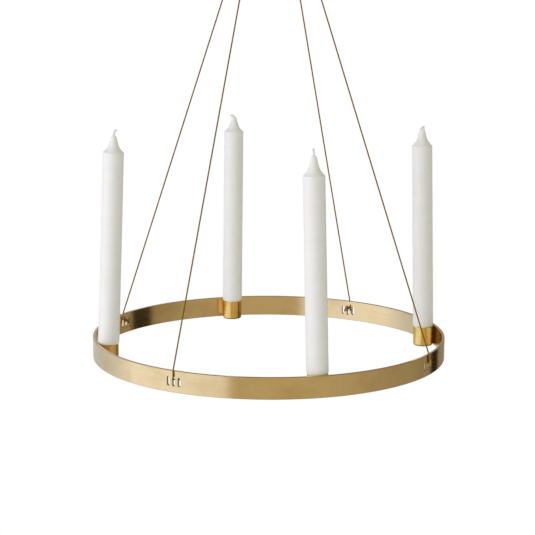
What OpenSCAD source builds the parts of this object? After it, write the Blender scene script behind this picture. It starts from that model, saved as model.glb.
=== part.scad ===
// Hanging candle wreath: a flat brass band with four cups on its inner face, four dinner candles,
// and cords that run from slots in the band to a hanging ring.
// The origin is where a hook bears inside the hanging ring. Everything hangs below it.

/* [Band] */
// Outside diameter of the band
band_od = 380; // [360:1:400]
// Height of the band
band_h = 22.5; // [21:0.5:26]
// Thickness of the strip that the band is rolled from
band_wall = 3; // [2:0.1:3.2]
// Chamfer along the band's four edges
edge_chamfer = 0.4; // [0.1:0.1:0.8]

/* [Cord slots] */
// Width of each slot
slot_w = 3.3; // [2.8:0.1:4]
// Height of each slot
slot_h = 9.5; // [9:0.5:12]
// Distance between neighbouring slots, along the band
slot_pitch = 6.5; // [5.5:0.1:9]
// Slots side by side at each cord
slot_count = 3; // [3:2:5]

/* [Candle cups] */
// Outside diameter of a cup
cup_od = 21.5; // [21.1:0.1:23]
// Wall of a cup
cup_wall = 0.8; // [0.6:0.1:1]
// Floor of a cup
cup_floor = 1.5; // [1:0.1:2]
// Radius of the rounded edge under a cup
cup_round = 2; // [1:0.1:2.4]
// Width of the solder seam between a cup and the band
seam_w = 8; // [5:0.5:10]
// Thickness of the solder where a cup meets the band
seam_film = 0.15; // [0.1:0.05:0.3]
// Shift of the front cup along the band, counterclockwise in degrees
front_shift = 0.9; // [-3:0.1:3]
// Shift of the right cup
right_shift = -1.5; // [-3:0.1:3]
// Shift of the back cup
back_shift = -0.9; // [-3:0.1:3]
// Shift of the left cup
left_shift = 0; // [-3:0.1:3]

/* [Candles] */
// Diameter just above the foot
candle_d = 22.5; // [21.5:0.1:24]
// Diameter at the shoulder, under the tip
candle_top_d = 21.8; // [20:0.1:22.5]
// Diameter of the foot where it fills the cup's mouth
foot_d = 18.5; // [17.6:0.1:18.7]
// Taper of the foot, from the cup's mouth down to its end
foot_taper = 0.9; // [0.4:0.1:1.4]
// Worn lower edge of the ledge that covers the cup's rim
ledge_edge = 0.3; // [0.1:0.1:1]
// Gap between the cup's floor and the foot
foot_gap = 0.6; // [0.5:0.05:0.8]
// Shoulder of the front candle above the band's lower edge
front_h = 219.5; // [150:0.5:300]
// Shoulder of the right candle
right_h = 222; // [150:0.5:300]
// Shoulder of the back candle
back_h = 221; // [150:0.5:300]
// Shoulder of the left candle
left_h = 225; // [150:0.5:300]
// Tip of the front candle above its shoulder
front_tip = 19; // [12:0.5:26]
// Tip of the right candle
right_tip = 19; // [12:0.5:26]
// Tip of the back candle
back_tip = 16.5; // [12:0.5:26]
// Tip of the left candle
left_tip = 17; // [12:0.5:26]
// Diameter of a wick
wick_d = 2.2; // [1.4:0.1:2.4]
// Free end of the front wick
front_wick = 7.5; // [4:0.5:12]
// Free end of the right wick
right_wick = 2; // [2:0.5:4]
// Free end of the back wick
back_wick = 2.5; // [2:0.5:4]
// Free end of the left wick
left_wick = 7; // [4:0.5:12]

/* [Lean of the candles] */
// Direction in which positive leans point, turned clockwise from the right
lean_turn = 15; // [0:1:45]
// Lean of the front candle in degrees
front_lean = -1.5; // [-2:0.1:2]
// Lean of the right candle in degrees
right_lean = -1.5; // [-2:0.1:2]
// Lean of the back candle in degrees
back_lean = 0.5; // [-2:0.1:2]
// Lean of the left candle in degrees
left_lean = 2.1; // [-2.2:0.1:2.2]

/* [Hanging] */
// Height of the hanging ring's centre above the band
hang_h = 526; // [516:1:536]
// Outside diameter of the hanging ring
ring_od = 60; // [56:1:64]
// Diameter of the ring's wire
wire_d = 4.5; // [3.5:0.1:5]
// Diameter of the cord
cord_d = 1.5; // [1.2:0.1:1.6]
// Diameter of the cord where a knot draws it tight
knot_cord_d = 1.1; // [0.9:0.05:1.15]

/* [Hidden] */
$fn = 96;

// Overrun of every cut past the face that it goes through
over = 1;
// Radial room round a wick inside the wax
wick_room = 0.05;
// Room between a candle's ledge and the cup's rim, besides what its lean takes
ledge_room = 0.08;
// Room between a hitch and the wire that it goes round, over the whole swing
hitch_room = 0.4;
// Room between two strands that lie beside each other in a hitch
strand_room = 0.5;
// Room between a knot and the band's inner face
knot_room = 0.3;
// Room between the solder and the cup, and between the solder and the band
solder_room = 0.03;
solder_band_room = 0.01;
// Height of a cord in its slot, above the slot's middle
cord_rise = 1.75;
// Solder stops this far below the rim
seam_drop = 0.5;

// Places along the height
ring_z = wire_d - ring_od / 2;
band_top = ring_z - hang_h;
band_z = band_top - band_h;
slot_z = band_z + band_h / 2;

// The band and its cups
band_r = band_od / 2;
band_ir = band_r - band_wall;
cup_r = cup_od / 2;
cup_ir = cup_r - cup_wall;
cup_at = band_ir - seam_film - cup_r;
seam_h = band_h - cup_round - seam_drop;
slot_step = slot_pitch / band_r * 180 / PI;

// Candles in the order front, right, back, left
sides = [0, 1, 2, 3];
shoulders = [front_h, right_h, back_h, left_h];
tips = [front_tip, right_tip, back_tip, left_tip];
leans = [front_lean, right_lean, back_lean, left_lean];
shifts = [front_shift, right_shift, back_shift, left_shift];
side_turns = [for (i = sides) (i - 1) * 90 + shifts[i]];
foot_z = cup_floor + foot_gap;
pivot_h = (cup_floor + band_h) / 2;

// The tip of a candle as shares of the shoulder's radius and of the tip's height
tip_shares = [[1, 0], [0.93, 0.04], [0.83, 0.1], [0.7, 0.19], [0.6, 0.28], [0.51, 0.39],
    [0.45, 0.5], [0.39, 0.62], [0.34, 0.75], [0.3, 0.87], [0.26, 0.95], [0.2, 1]];

// The free ends of the wicks as [sideways, back, up], in shares of each wick's length
wick_lengths = [front_wick, right_wick, back_wick, left_wick];
wick_shares = [
    [[0, 0, 0], [0.01, 0, 0.25], [0, 0, 0.5], [-0.02, 0, 0.75], [-0.04, 0, 1]],
    [[0, 0, 0], [0.06, 0, 0.4], [0.4, 0.02, 0.68], [0.9, 0.04, 0.75], [1.3, 0.06, 0.7]],
    [[0, 0, 0], [-0.1, 0, 0.42], [-0.5, 0.04, 0.75], [-1.05, 0.08, 0.8], [-1.6, 0.1, 0.5]],
    [[0, 0, 0], [0.01, 0, 0.3], [0.06, 0.02, 0.58], [0.2, 0.04, 0.82], [0.42, 0.06, 0.98]]];

// Where the pull of two cords passes through the centre of the hanging ring
ring_r = (ring_od - wire_d) / 2;
pull_turn = atan((band_r + cord_d / 2) / sqrt(2) / hang_h);
wrap_r = (wire_d + cord_d) / 2 + hitch_room;
strand = cord_d + strand_room;

// Where a front and a back cord leave their hitch, as [outward, sideways, up] from the hanging ring's
// centre. Outward runs along the diagonal of the cord's own quarter.
front_exit = [7.7, -3.1, -25.8];
back_exit = [2, 6.7, -28];
// Places along a cord's straight run, as shares of it
run_shares = [0, 0.08, 0.24, 0.4, 0.56, 0.72, 0.88, 0.95];
// The bend over the band, as [outward, up] in shares of the cord's diameter: first from the band's
// upper outer edge, then from the height at which the cord goes through its slot
edge_shares = [[0.27, 1], [0.4, 0.67], [0.53, -0.33], [0.53, -2.33]];
slot_shares = [[0.53, 2], [0.4, 1.27], [-0.07, 0.6], [-0.73, 0.13], [-1.47, 0]];
cord_z = slot_z + cord_rise;
cord_past = cord_d / 3;
bend = concat([for (s = edge_shares) [band_r + cord_d * s[0], 0, band_top + cord_d * s[1]]],
    [for (s = slot_shares) [band_r + cord_d * s[0], 0, cord_z + cord_d * s[1]]],
    [[band_ir - cord_past, 0, cord_z]]);
function route(leaves) =
    let (from = leaves + [0, 0, ring_z])
        concat([for (s = run_shares) from + s * (bend[0] - from)], bend);
cord_sides = 8;
strand_sides = 6;

// Sizes of a knot: the scale of its overhand curve sideways, up and in depth, its turn and tilt in
// degrees, and how far its middle is above the cord
knot_wide = 0.77;
knot_tall = 1.3;
knot_deep = 1.4;
knot_turn = -56;
knot_tilt = -14;
knot_up = 0.5;
knot_steps = 40;
knot_cut = 10;
// A knot's lead from the cord's end, and its tail from the loop's end, in shares of its cord's diameter
lead_shares = [[0, 0.78, 0], [-0.58, 1.66, -0.3], [-1.16, 2.96, -0.84]];
tail_shares = [[0, 0, 0], [-0.04, 0.04, -0.3], [-0.08, 0.08, -1.2], [-0.08, 0.08, -2.8],
    [-0.08, 0.08, -4.4]];
loop_share = 1.45;
knot_in = knot_room + cord_d / 2 + knot_deep + loop_share * knot_cord_d;

// A vector of length one, and the direction of a path at one of its points
function unit(v) = v / norm(v);
function heading(path, i) = unit(path[min(i + 1, len(path) - 1)] - path[max(i - 1, 0)]);

// A smooth curve through points, with steps places from each point to the next
function between(a, b, c, d, t) =
    0.5 * (2 * b + (c - a) * t + (2 * a - 5 * b + 4 * c - d) * t * t
        + (3 * b - a - 3 * c + d) * t * t * t);
function smooth(points, steps) = concat(
    [for (i = [0 : len(points) - 2], s = [0 : steps - 1])
        between(points[max(i - 1, 0)], points[i], points[i + 1],
            points[min(i + 2, len(points) - 1)], s / steps)],
    [points[len(points) - 1]]);

// A direction square to each point's heading, carried along the path without a twist
function square_to(v, along) = unit(v - (v * along) * along);
function start_side(along) = square_to(abs(along[2]) < 0.8 ? [0, 0, 1] : [0, 1, 0], along);
function side_list(path) =
    [for (i = 0, side = start_side(heading(path, 0)); i < len(path);
        i = i + 1, side = i < len(path) ? square_to(side, heading(path, i)) : side) side];

// A round tube along a path, with a radius for each point
module tube(path, radii, faces) {
    normals = side_list(path);
    count = len(path);
    rings = [for (i = [0 : count - 1]) let (along = heading(path, i), n = normals[i])
        for (j = [0 : faces - 1]) let (a = 360 * j / faces)
            path[i] + radii[i] * (cos(a) * n + sin(a) * cross(along, n))];
    walls = [for (i = [0 : count - 2], j = [0 : faces - 1])
        let (a = i * faces + j, b = i * faces + (j + 1) % faces)
            each [[a, a + faces, b + faces], [a, b + faces, b]]];
    first = [for (j = [1 : faces - 2]) [0, j, j + 1]];
    last = [for (j = [1 : faces - 2]) [(count - 1) * faces, (count - 1) * faces + j + 1,
        (count - 1) * faces + j]];
    polyhedron(points = rings, faces = concat(first, walls, last), convexity = 8);
}

function same(path, r) = [for (p = path) r];

// The least gap of a strand to itself, leaving out its neighbours along the curve
function run_to(path, i) = i == 0 ? 0 : norm(path[i] - path[i - 1]) + run_to(path, i - 1);
function least_gap(path, d, skip) =
    let (runs = [for (i = [0 : len(path) - 1]) run_to(path, i)])
        min([for (i = [0 : len(path) - 1], j = [i : len(path) - 1])
            if (runs[j] - runs[i] > skip) norm(path[i] - path[j])]) - d;

// Turns a place on a cord's route into the object's own frame; quarter is its turn about the axis
function placed(p, quarter) =
    [p[0] * cos(quarter) - p[1] * sin(quarter), p[0] * sin(quarter) + p[1] * cos(quarter), p[2]];
quarters = [for (i = sides) 225 + i * 90];
front_left = [for (p = route(front_exit)) placed(p, quarters[0])];
back_left = [for (p = route(back_exit)) placed(p, quarters[3])];

// Band

module band_section() {
    translate([band_ir, 0])
        polygon([[edge_chamfer, 0], [band_wall - edge_chamfer, 0], [band_wall, edge_chamfer],
            [band_wall, band_h - edge_chamfer], [band_wall - edge_chamfer, band_h],
            [edge_chamfer, band_h], [0, band_h - edge_chamfer], [0, edge_chamfer]]);
}

module slot_outline() {
    square([slot_w, slot_h - slot_w], center = true);
    for (end = [-1, 1])
        translate([0, end * (slot_h - slot_w) / 2]) circle(d = slot_w);
}

module slot_cut() {
    translate([band_ir - over, 0, 0]) rotate([90, 0, 90])
        linear_extrude(height = band_wall + 2 * over) slot_outline();
}

module ring_band() {
    color("#C9A45C") difference() {
        translate([0, 0, band_z]) rotate_extrude($fn = 360) band_section();
        for (quarter = [45 : 90 : 315], k = [0 : slot_count - 1])
            rotate([0, 0, quarter + (k - (slot_count - 1) / 2) * slot_step])
                translate([0, 0, slot_z]) slot_cut();
    }
}

// Cups and their solder

module cup_section() {
    difference() {
        union() {
            translate([0, cup_round]) square([cup_r, band_h - cup_round]);
            square([cup_r - cup_round, band_h]);
            translate([cup_r - cup_round, cup_round]) circle(r = cup_round);
        }
        translate([0, cup_floor]) square([cup_ir, band_h]);
        translate([-cup_round, 0]) square([cup_round, band_h]);
    }
}

module cup(i) {
    color("#D2A64C") rotate([0, 0, side_turns[i]])
        translate([cup_at, 0, band_z]) rotate_extrude() cup_section();
}

// Outline of a seam: along the cup from one side to the other, and back along the band
seam_ys = [for (k = [-1 : 0.25 : 1]) k * seam_w / 2];
function across(r, y) = sqrt(r * r - y * y);
seam_outline = concat([for (y = seam_ys) [cup_at + across(cup_r + solder_room, y), y]],
    [for (k = [1, 0, -1]) let (y = k * seam_w / 2) [across(band_ir - solder_band_room, y), y]]);

module solder_seams() {
    color("#9A7B42") for (turn = side_turns)
        rotate([0, 0, turn]) translate([0, 0, band_z + cup_round])
            linear_extrude(height = seam_h) polygon(seam_outline);
}

// Candles and wicks, upright about their own axis with the band's lower edge at zero

function ledge(i) = band_h + cup_r * sin(abs(leans[i])) + ledge_room;
function wax_outline(i) = concat(
    [[wick_d / 2 + wick_room, foot_z], [foot_d / 2 - foot_taper / 2, foot_z], [foot_d / 2, ledge(i)],
        [candle_d / 2 - ledge_edge, ledge(i)], [candle_d / 2, ledge(i) + ledge_edge]],
    [for (s = tip_shares) [candle_top_d / 2 * s[0], shoulders[i] + tips[i] * s[1]]],
    [[wick_d / 2 + wick_room, shoulders[i] + tips[i]]]);

// Stands a candle or its wick in its cup, leaned about the middle of the cup's depth
module in_cup(i) {
    turn = side_turns[i];
    translate([cup_at * cos(turn), cup_at * sin(turn), band_z + pivot_h])
        rotate(a = leans[i], v = [sin(lean_turn), cos(lean_turn), 0])
            translate([0, 0, -pivot_h]) children();
}

module candle(i) {
    color("#F3F1EA") in_cup(i) rotate_extrude() polygon(wax_outline(i));
}

module wick(i) {
    reach = wick_lengths[i];
    top = shoulders[i] + tips[i];
    free = [for (s = wick_shares[i]) [reach * s[0], reach * s[1], top + reach * s[2]]];
    path = concat([[0, 0, foot_z], [0, 0, top - wick_d]], smooth(free, 3));
    color("#E9E4D4") in_cup(i) rotate([0, 0, -lean_turn])
        tube(path, same(path, wick_d / 2), cord_sides);
}

// Cords, each from its hitch down to the knot behind its slot

module cord(path) {
    color("#7A5526") tube(path, same(path, cord_d / 2), cord_sides);
}

// Knots: an overhand curve that fills the space behind the middle slot

function overhand(t) =
    let (x = sin(t) + 2 * sin(2 * t), y = cos(t) - 2 * cos(2 * t),
        u = knot_wide * (x * cos(knot_turn) - y * sin(knot_turn)),
        w = knot_tall * (x * sin(knot_turn) + y * cos(knot_turn)))
        [u * cos(knot_tilt) + w * sin(knot_tilt), knot_in + knot_deep * sin(3 * t),
            w * cos(knot_tilt) - u * sin(knot_tilt) + knot_up];

// Points of a knot as [sideways, inward, up] from where the cord leaves the slot. The first stretch
// is straight, so that it meets the cord's end squarely.
loop_start = 180 + knot_cut;
loop_end = 540 - knot_cut;
knot_loop = [for (k = [0 : knot_steps])
    overhand(loop_start + (loop_end - loop_start) * k / knot_steps)];
knot_lead = smooth(concat([for (s = lead_shares) knot_cord_d * s], [knot_loop[0]]), 2);
knot_tail = smooth([for (s = tail_shares) knot_loop[knot_steps] + knot_cord_d * s], 2);
knot_path = concat([[0, cord_past, 0]], knot_lead, [for (k = [1 : knot_steps]) knot_loop[k]],
    [for (k = [1 : len(knot_tail) - 1]) knot_tail[k]]);
knot_radii = [for (k = [0 : len(knot_path) - 1])
    k < 2 ? cord_d / 2 : k < 4 ? (cord_d + knot_cord_d) / 4 : knot_cord_d / 2];

module knot(i) {
    path = [for (p = knot_path) placed([band_ir - p[1], p[0], cord_z + p[2]], quarters[i])];
    color("#8B6538") tube(path, knot_radii, strand_sides);
}

// Hitches: the doubled cord goes over the ring's wire and back through its own bight.
// Points are [along the wire, forward to back, up] from the middle of the wire.

function wrap_at(x, turn) = [x, -wrap_r * cos(turn), wrap_r * sin(turn)];
// The two turns round the wire as [along it in shares of a strand, turn], and the bight in shares
front_wrap_shares = [[-0.58, 45], [-0.8, 90], [-1.15, 135], [-1.4, 180], [-1.5, 225], [-1.5, 265]];
back_wrap_shares = [[1.5, 265], [1.5, 225], [1.4, 180], [1.2, 135], [0.95, 90], [0.7, 45], [0.55, 10]];
bight_shares = [[-1.35, -1.65, -1.25], [-1.35, -2.8, -1.25], [-0.7, -3.4, -1.2], [0, -3.5, -1.15],
    [0.7, -3.4, -1.2], [1.35, -2.8, -1.25], [1.35, -1.65, -1.25]];
hitch_points = concat([for (w = front_wrap_shares) wrap_at(strand * w[0], w[1])],
    strand * bight_shares, [for (w = back_wrap_shares) wrap_at(strand * w[0], w[1])]);

// From the hitch's own frame to the object's, for the left hitch
function on_ring(p) =
    [p[0] * cos(pull_turn) + p[2] * sin(pull_turn) - ring_r * sin(pull_turn), p[1],
        p[2] * cos(pull_turn) - p[0] * sin(pull_turn) + ring_z - ring_r * cos(pull_turn)];
function lead_in(path) = path[0] + cord_d / 2 * unit(path[0] - path[1]);
hitch_mid = smooth(concat([lead_in(front_left)], [for (p = hitch_points) on_ring(p)],
    [lead_in(back_left)]), 3);
hitch_path = concat([front_left[0]], hitch_mid, [back_left[0]]);

module hitch() {
    color("#7A5526") tube(hitch_path, same(hitch_path, cord_d / 2), strand_sides);
}

module hanging_ring() {
    color("#C9A45C") translate([0, 0, ring_z]) rotate([90, 0, 0])
        rotate_extrude() translate([ring_r, 0]) circle(d = wire_d);
}

echo(knot_gap = least_gap(knot_path, knot_cord_d, 2.6 * cord_d));
echo(hitch_gap = least_gap(hitch_path, cord_d, 3.5 * cord_d));

ring_band();
cup(0);  // cup_front
cup(1);  // cup_right
cup(2);  // cup_back
cup(3);  // cup_left
solder_seams();
candle(0);  // candle_front
candle(1);  // candle_right
candle(2);  // candle_back
candle(3);  // candle_left
wick(0);  // wick_front
wick(1);  // wick_right
wick(2);  // wick_back
wick(3);  // wick_left
cord(front_left);  // cord_front_left
mirror([1, 0, 0]) cord(front_left);  // cord_front_right
cord(back_left);  // cord_back_left
mirror([1, 0, 0]) cord(back_left);  // cord_back_right
knot(0);  // knot_front_left
knot(1);  // knot_front_right
knot(3);  // knot_back_left
knot(2);  // knot_back_right
hitch();  // hitch_left
mirror([1, 0, 0]) hitch();  // hitch_right
hanging_ring();
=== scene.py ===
"""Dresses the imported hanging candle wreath: its brass, solder, wax, wicks, cords and knots."""

import math

import bmesh
import bpy
from mathutils import Matrix, Vector, noise


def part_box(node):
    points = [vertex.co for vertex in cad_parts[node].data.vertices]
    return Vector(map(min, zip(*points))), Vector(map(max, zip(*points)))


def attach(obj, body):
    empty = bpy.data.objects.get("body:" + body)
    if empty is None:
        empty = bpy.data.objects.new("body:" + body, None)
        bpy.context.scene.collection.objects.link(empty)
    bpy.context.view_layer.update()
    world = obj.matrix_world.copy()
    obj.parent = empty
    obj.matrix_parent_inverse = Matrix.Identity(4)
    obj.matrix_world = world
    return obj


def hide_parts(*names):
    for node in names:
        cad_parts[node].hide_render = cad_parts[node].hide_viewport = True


bl_info = {
    "name": "Hanging candle wreath",
    "version": (1, 0, 0),
    "blender": (4, 5, 0),
    "location": "3D View > Sidebar > Wreath",
    "description": "Builds the looks of a hanging candle wreath around its packed frame",
    "category": "Object",
}

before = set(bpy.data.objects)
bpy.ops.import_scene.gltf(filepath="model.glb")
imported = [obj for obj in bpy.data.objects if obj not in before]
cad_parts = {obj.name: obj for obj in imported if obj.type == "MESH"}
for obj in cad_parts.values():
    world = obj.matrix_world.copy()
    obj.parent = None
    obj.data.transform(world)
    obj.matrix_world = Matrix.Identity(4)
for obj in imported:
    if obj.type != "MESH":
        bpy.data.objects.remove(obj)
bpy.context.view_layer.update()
BAND_LOW, BAND_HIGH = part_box("ring_band")
RING_LOW, RING_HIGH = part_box("hanging_ring")
CUP_LOW, CUP_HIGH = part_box("cup_left")

MM = 0.001
BAND_TALL = BAND_HIGH.z - BAND_LOW.z
BAND_MIDDLE = (BAND_LOW.z + BAND_HIGH.z) / 2
CUP_REACH = -(CUP_LOW.x + CUP_HIGH.x) / 2
CUP_RADIUS = (CUP_HIGH.x - CUP_LOW.x) / 2
# A cup's rim lies a little under the band's upper edge.
CUP_TALL = BAND_TALL - 1.4 * MM
# Directions from the wreath's axis, counterclockwise from +X: of the cups, and of the cords.
SIDES = ("front", "right", "back", "left")
SIDE_TURNS = {"front": -89.1, "right": -1.5, "back": 89.1, "left": 180}
QUARTERS = {"front_left": 225, "front_right": 315, "back_left": 135, "back_right": 45}


def linear(code):
    """An sRGB hex colour as linear red, green, blue."""
    parts = [int(code[i : i + 2], 16) / 255 for i in (1, 3, 5)]
    return tuple(p / 12.92 if p <= 0.04045 else ((p + 0.055) / 1.055) ** 2.4 for p in parts)


def size_prop(label, words, default):
    """A length that a user may change."""
    return bpy.props.FloatProperty(
        name=label, description=words, default=default, min=0.0, unit="LENGTH", subtype="DISTANCE"
    )


def colour_prop(label, words, code):
    """A colour that a user may change, from its sRGB hex value."""
    kind = {"min": 0.0, "max": 1.0, "size": 3, "subtype": "COLOR"}
    return bpy.props.FloatVectorProperty(
        name=label, description=words, default=linear(code), **kind
    )


# Sizes and finishes


class WreathBandSizes(bpy.types.PropertyGroup):
    """The flat brass band and its slots."""

    radius: size_prop("Radius", "Outside radius of the band", BAND_HIGH.x)
    wall: size_prop("Wall", "Thickness of the strip", 3.0 * MM)
    edge: size_prop("Edge", "Rounding of the strip's long edges", 0.4 * MM)
    slot_width: size_prop("Slot width", "Width of each punched slot", 3.3 * MM)
    slot_height: size_prop("Slot height", "Height of each punched slot", 9.5 * MM)
    slot_pitch: size_prop("Slot pitch", "Distance from slot to slot", 6.5 * MM)
    slot_edge: size_prop("Slot edge", "Rounding of the slots' rims", 0.22 * MM)


class WreathCupSizes(bpy.types.PropertyGroup):
    """The candle cups and the solder that holds them."""

    reach: size_prop("Reach", "From the wreath's axis to a cup's axis", CUP_REACH)
    radius: size_prop("Radius", "Outside radius of a cup", CUP_RADIUS)
    wall: size_prop("Wall", "Wall of a cup", 0.8 * MM)
    floor: size_prop("Floor", "Floor of a cup", 1.5 * MM)
    round: size_prop("Round", "Rounded lower edge", 2.0 * MM)
    lip: size_prop("Lip", "Rounding of the lip", 0.3 * MM)
    seam: size_prop("Seam", "Width of the solder between cup and band", 8.0 * MM)


class WreathCandleSizes(bpy.types.PropertyGroup):
    """The dinner candles and their wicks."""

    foot_gap: size_prop("Foot gap", "From the cup's lower edge to the candle's foot", 2.1 * MM)
    foot: size_prop("Foot", "Radius of the foot at its end", 8.8 * MM)
    mouth: size_prop("Mouth", "Radius where the foot leaves the cup", 9.25 * MM)
    room: size_prop("Room", "From a cup's rim to the wax over it, where nearest", 0.08 * MM)
    edge: size_prop("Edge", "Rounding of the wax's lower edge, over the cup", 0.3 * MM)
    full: size_prop("Full", "Radius above the cup", 11.25 * MM)
    shoulder: size_prop("Shoulder", "Radius under the tip", 10.9 * MM)
    wick: size_prop("Wick", "Radius of the wick", 1.1 * MM)
    lean_turn: bpy.props.FloatProperty(
        name="Lean turn",
        description="Direction of the leans, turned clockwise from the right",
        default=math.radians(15),
        subtype="ANGLE",
    )


class WreathCordSizes(bpy.types.PropertyGroup):
    """The cords, their knots and hitches, and the hanging ring."""

    cord: size_prop("Cord", "Radius of the cord", 0.75 * MM)
    knot_cord: size_prop("Knot cord", "Radius of the cord where a knot draws it tight", 0.55 * MM)
    ring: size_prop("Ring", "Radius of the hanging ring, to the middle of its wire", 27.75 * MM)
    wire: size_prop("Wire", "Radius of the hanging ring's wire", 2.25 * MM)


class WreathFinishes(bpy.types.PropertyGroup):
    """Colours of the materials."""

    brass: colour_prop("Brass", "Brushed brass of the band", "#E8D4AE")
    brass_deep: colour_prop("Deep brass", "Brass under thicker tarnish", "#D6BB88")
    cup: colour_prop("Cup brass", "Drawn brass of the cups", "#F4D48E")
    cup_deep: colour_prop("Deep cup brass", "Cup brass under thicker tarnish", "#D8B65F")
    # A painted highlight along the cups' lips.
    painted_lip_highlight: colour_prop("Painted lip highlight", "Cup brass painted paler at its lip, as a painted highlight", "#FFF0CC")
    cup_sheen: colour_prop("Cup sheen", "What the cups show at a grazing angle", "#D8BC80")
    # A painted highlight along the strip's upper and lower edges.
    edge: colour_prop("Painted edge highlight", "Brass painted paler along the strip's edges, as a painted highlight", "#E3CBA0")
    solder: colour_prop("Solder", "Hard solder, dull as it flowed", "#8C7534")
    wax: colour_prop("Wax", "Candle wax", "#F1F1EF")
    # Painted warm light, bounced off the brass, on the wax above each cup.
    wax_painted_bounce_light: colour_prop("Wax painted bounce light", "Painted light bounced off the brass, on the wax above its cup", "#F6EBC8")
    wick: colour_prop("Wick", "Waxed cotton", "#F0F0EE")
    cord: colour_prop("Cord", "Leather lace of the cords", "#966A0A")
    cord_dark: colour_prop("Dark cord", "Leather lace in its grain", "#664606")
    knot: colour_prop("Knot", "Leather lace where a knot draws it tight", "#9C7032")
    floor: colour_prop("Floor", "Pale studio floor", "#F4F4F4")


# Meshes


def smooth_path(points, steps):
    """A smooth curve through points, with steps places from each point to the next."""
    points = [Vector(p) for p in points]
    last = len(points) - 1
    found = []
    for i in range(last):
        a, b, c, d = points[max(i - 1, 0)], points[i], points[i + 1], points[min(i + 2, last)]
        for t in (s / steps for s in range(steps)):
            bend = (2 * a - 5 * b + 4 * c - d) * t * t + (3 * b - a - 3 * c + d) * t**3
            found.append(0.5 * (2 * b + (c - a) * t + bend))
    return [*found, points[last]]


def softened(points, rounds):
    """A line with its corners cut, and its two ends kept."""
    points = [Vector(p) for p in points]
    for _ in range(rounds):
        cut = [points[0]]
        for a, b in zip(points, points[1:]):
            cut += [a.lerp(b, 0.25), a.lerp(b, 0.75)]
        points = [*cut, points[-1]]
    return points


def frames(path):
    """Two directions square to a path at each of its points, carried along without a twist."""
    last = len(path) - 1
    ways = [(path[min(i + 1, last)] - path[max(i - 1, 0)]).normalized() for i in range(last + 1)]
    start = Vector((0, 1, 0)) if abs(ways[0].z) > 0.8 else Vector((0, 0, 1))
    found = []
    for way in ways:
        side = (start - start.dot(way) * way).normalized()
        found.append((side, way.cross(side)))
        start = side
    return found


def placed(p, turn):
    """A place turned about the wreath's axis, by some degrees."""
    c, s = math.cos(math.radians(turn)), math.sin(math.radians(turn))
    return Vector((p[0] * c - p[1] * s, p[0] * s + p[1] * c, p[2]))


def square(half, z):
    """The corners of a level square about the wreath's axis."""
    return [(-half, -half, z), (half, -half, z), (half, half, z), (-half, half, z)]


def circle(steps):
    """Places round a circle of radius 1."""
    turns = [2 * math.pi * k / steps for k in range(steps)]
    return [(math.cos(a), math.sin(a)) for a in turns]


def ringed(rows):
    """Faces from each ring of corners to the next. Where two corners are one, a face has three."""
    faces = []
    for low, high in zip(rows, rows[1:]):
        for k in range(len(low)):
            j = (k + 1) % len(low)
            faces.append(tuple(dict.fromkeys((low[k], low[j], high[j], high[k]))))
    return faces


def capped(rows):
    """Faces of a closed skin: between rings of corners, and over the first ring and the last."""
    return [*ringed(rows), tuple(reversed(rows[0])), tuple(rows[-1])]


def tube(path, radii, corners):
    """A tube along a path, with closed ends: its points, faces, and places round and along it."""
    points, places, rows, run = [], [], [], 0.0
    for i, (side, up) in enumerate(frames(path)):
        run += (path[i] - path[i - 1]).length if i else 0.0
        rows.append(range(i * corners, (i + 1) * corners))
        for k, (c, s) in enumerate(circle(corners)):
            points.append(path[i] + radii[i] * (c * side + s * up))
            places.append((k / corners, run))
    return points, capped(rows), places


def with_cut_ends(path, radii, bevel):
    """Adds the small bevels of a cut cord to both ends of a path."""
    first = path[0].lerp(path[1], min(1.0, bevel / (path[1] - path[0]).length))
    last = path[-1].lerp(path[-2], min(1.0, bevel / (path[-1] - path[-2]).length))
    path = [path[0], first, *path[1:-1], last, path[-1]]
    return path, [radii[0] - bevel, radii[0], *radii[1:-1], radii[-1], radii[-1] - bevel]


def rounded(corners, radii, steps):
    """An outline with its corners rounded, as pairs of a point and the direction to its right."""
    corners, pairs = [Vector(corner) for corner in corners], []
    ways = [(b - a).normalized() for a, b in zip(corners, corners[1:])]
    for corner, radius, into, out in zip(corners, radii, [ways[0], *ways], [*ways, ways[-1]]):
        bend = math.atan2(into.x * out.y - into.y * out.x, into.dot(out))
        reach, side = radius * math.tan(abs(bend) / 2), math.copysign(1, bend)
        right = Vector((into.y, -into.x))
        middle = corner - into * reach - right * radius * side
        for k in range(steps + 1) if bend else (0,):
            turned = Matrix.Rotation(bend * k / steps, 2) @ right
            pairs.append((middle + turned * radius * side, turned))
    return pairs


def lathe(pairs, steps):
    """Turns an outline of (radius, height) about Z. Gives points, faces and normals."""
    points, normals, rows = [], [], []
    for (r, z), (out, up) in pairs:
        # A place on the axis is one point.
        count = 1 if r < 1e-7 else steps
        rows.append([len(points) + k % count for k in range(steps)])
        for c, s in circle(steps)[:count]:
            points.append((r * c, r * s, z))
            normals.append((out * c, out * s, up) if count > 1 else (0, 0, math.copysign(1, up)))
    return points, ringed(rows), normals


def added(name, data):
    """An object with its data, linked to the scene."""
    obj = bpy.data.objects.new(name, data)
    bpy.context.scene.collection.objects.link(obj)
    return obj


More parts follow.
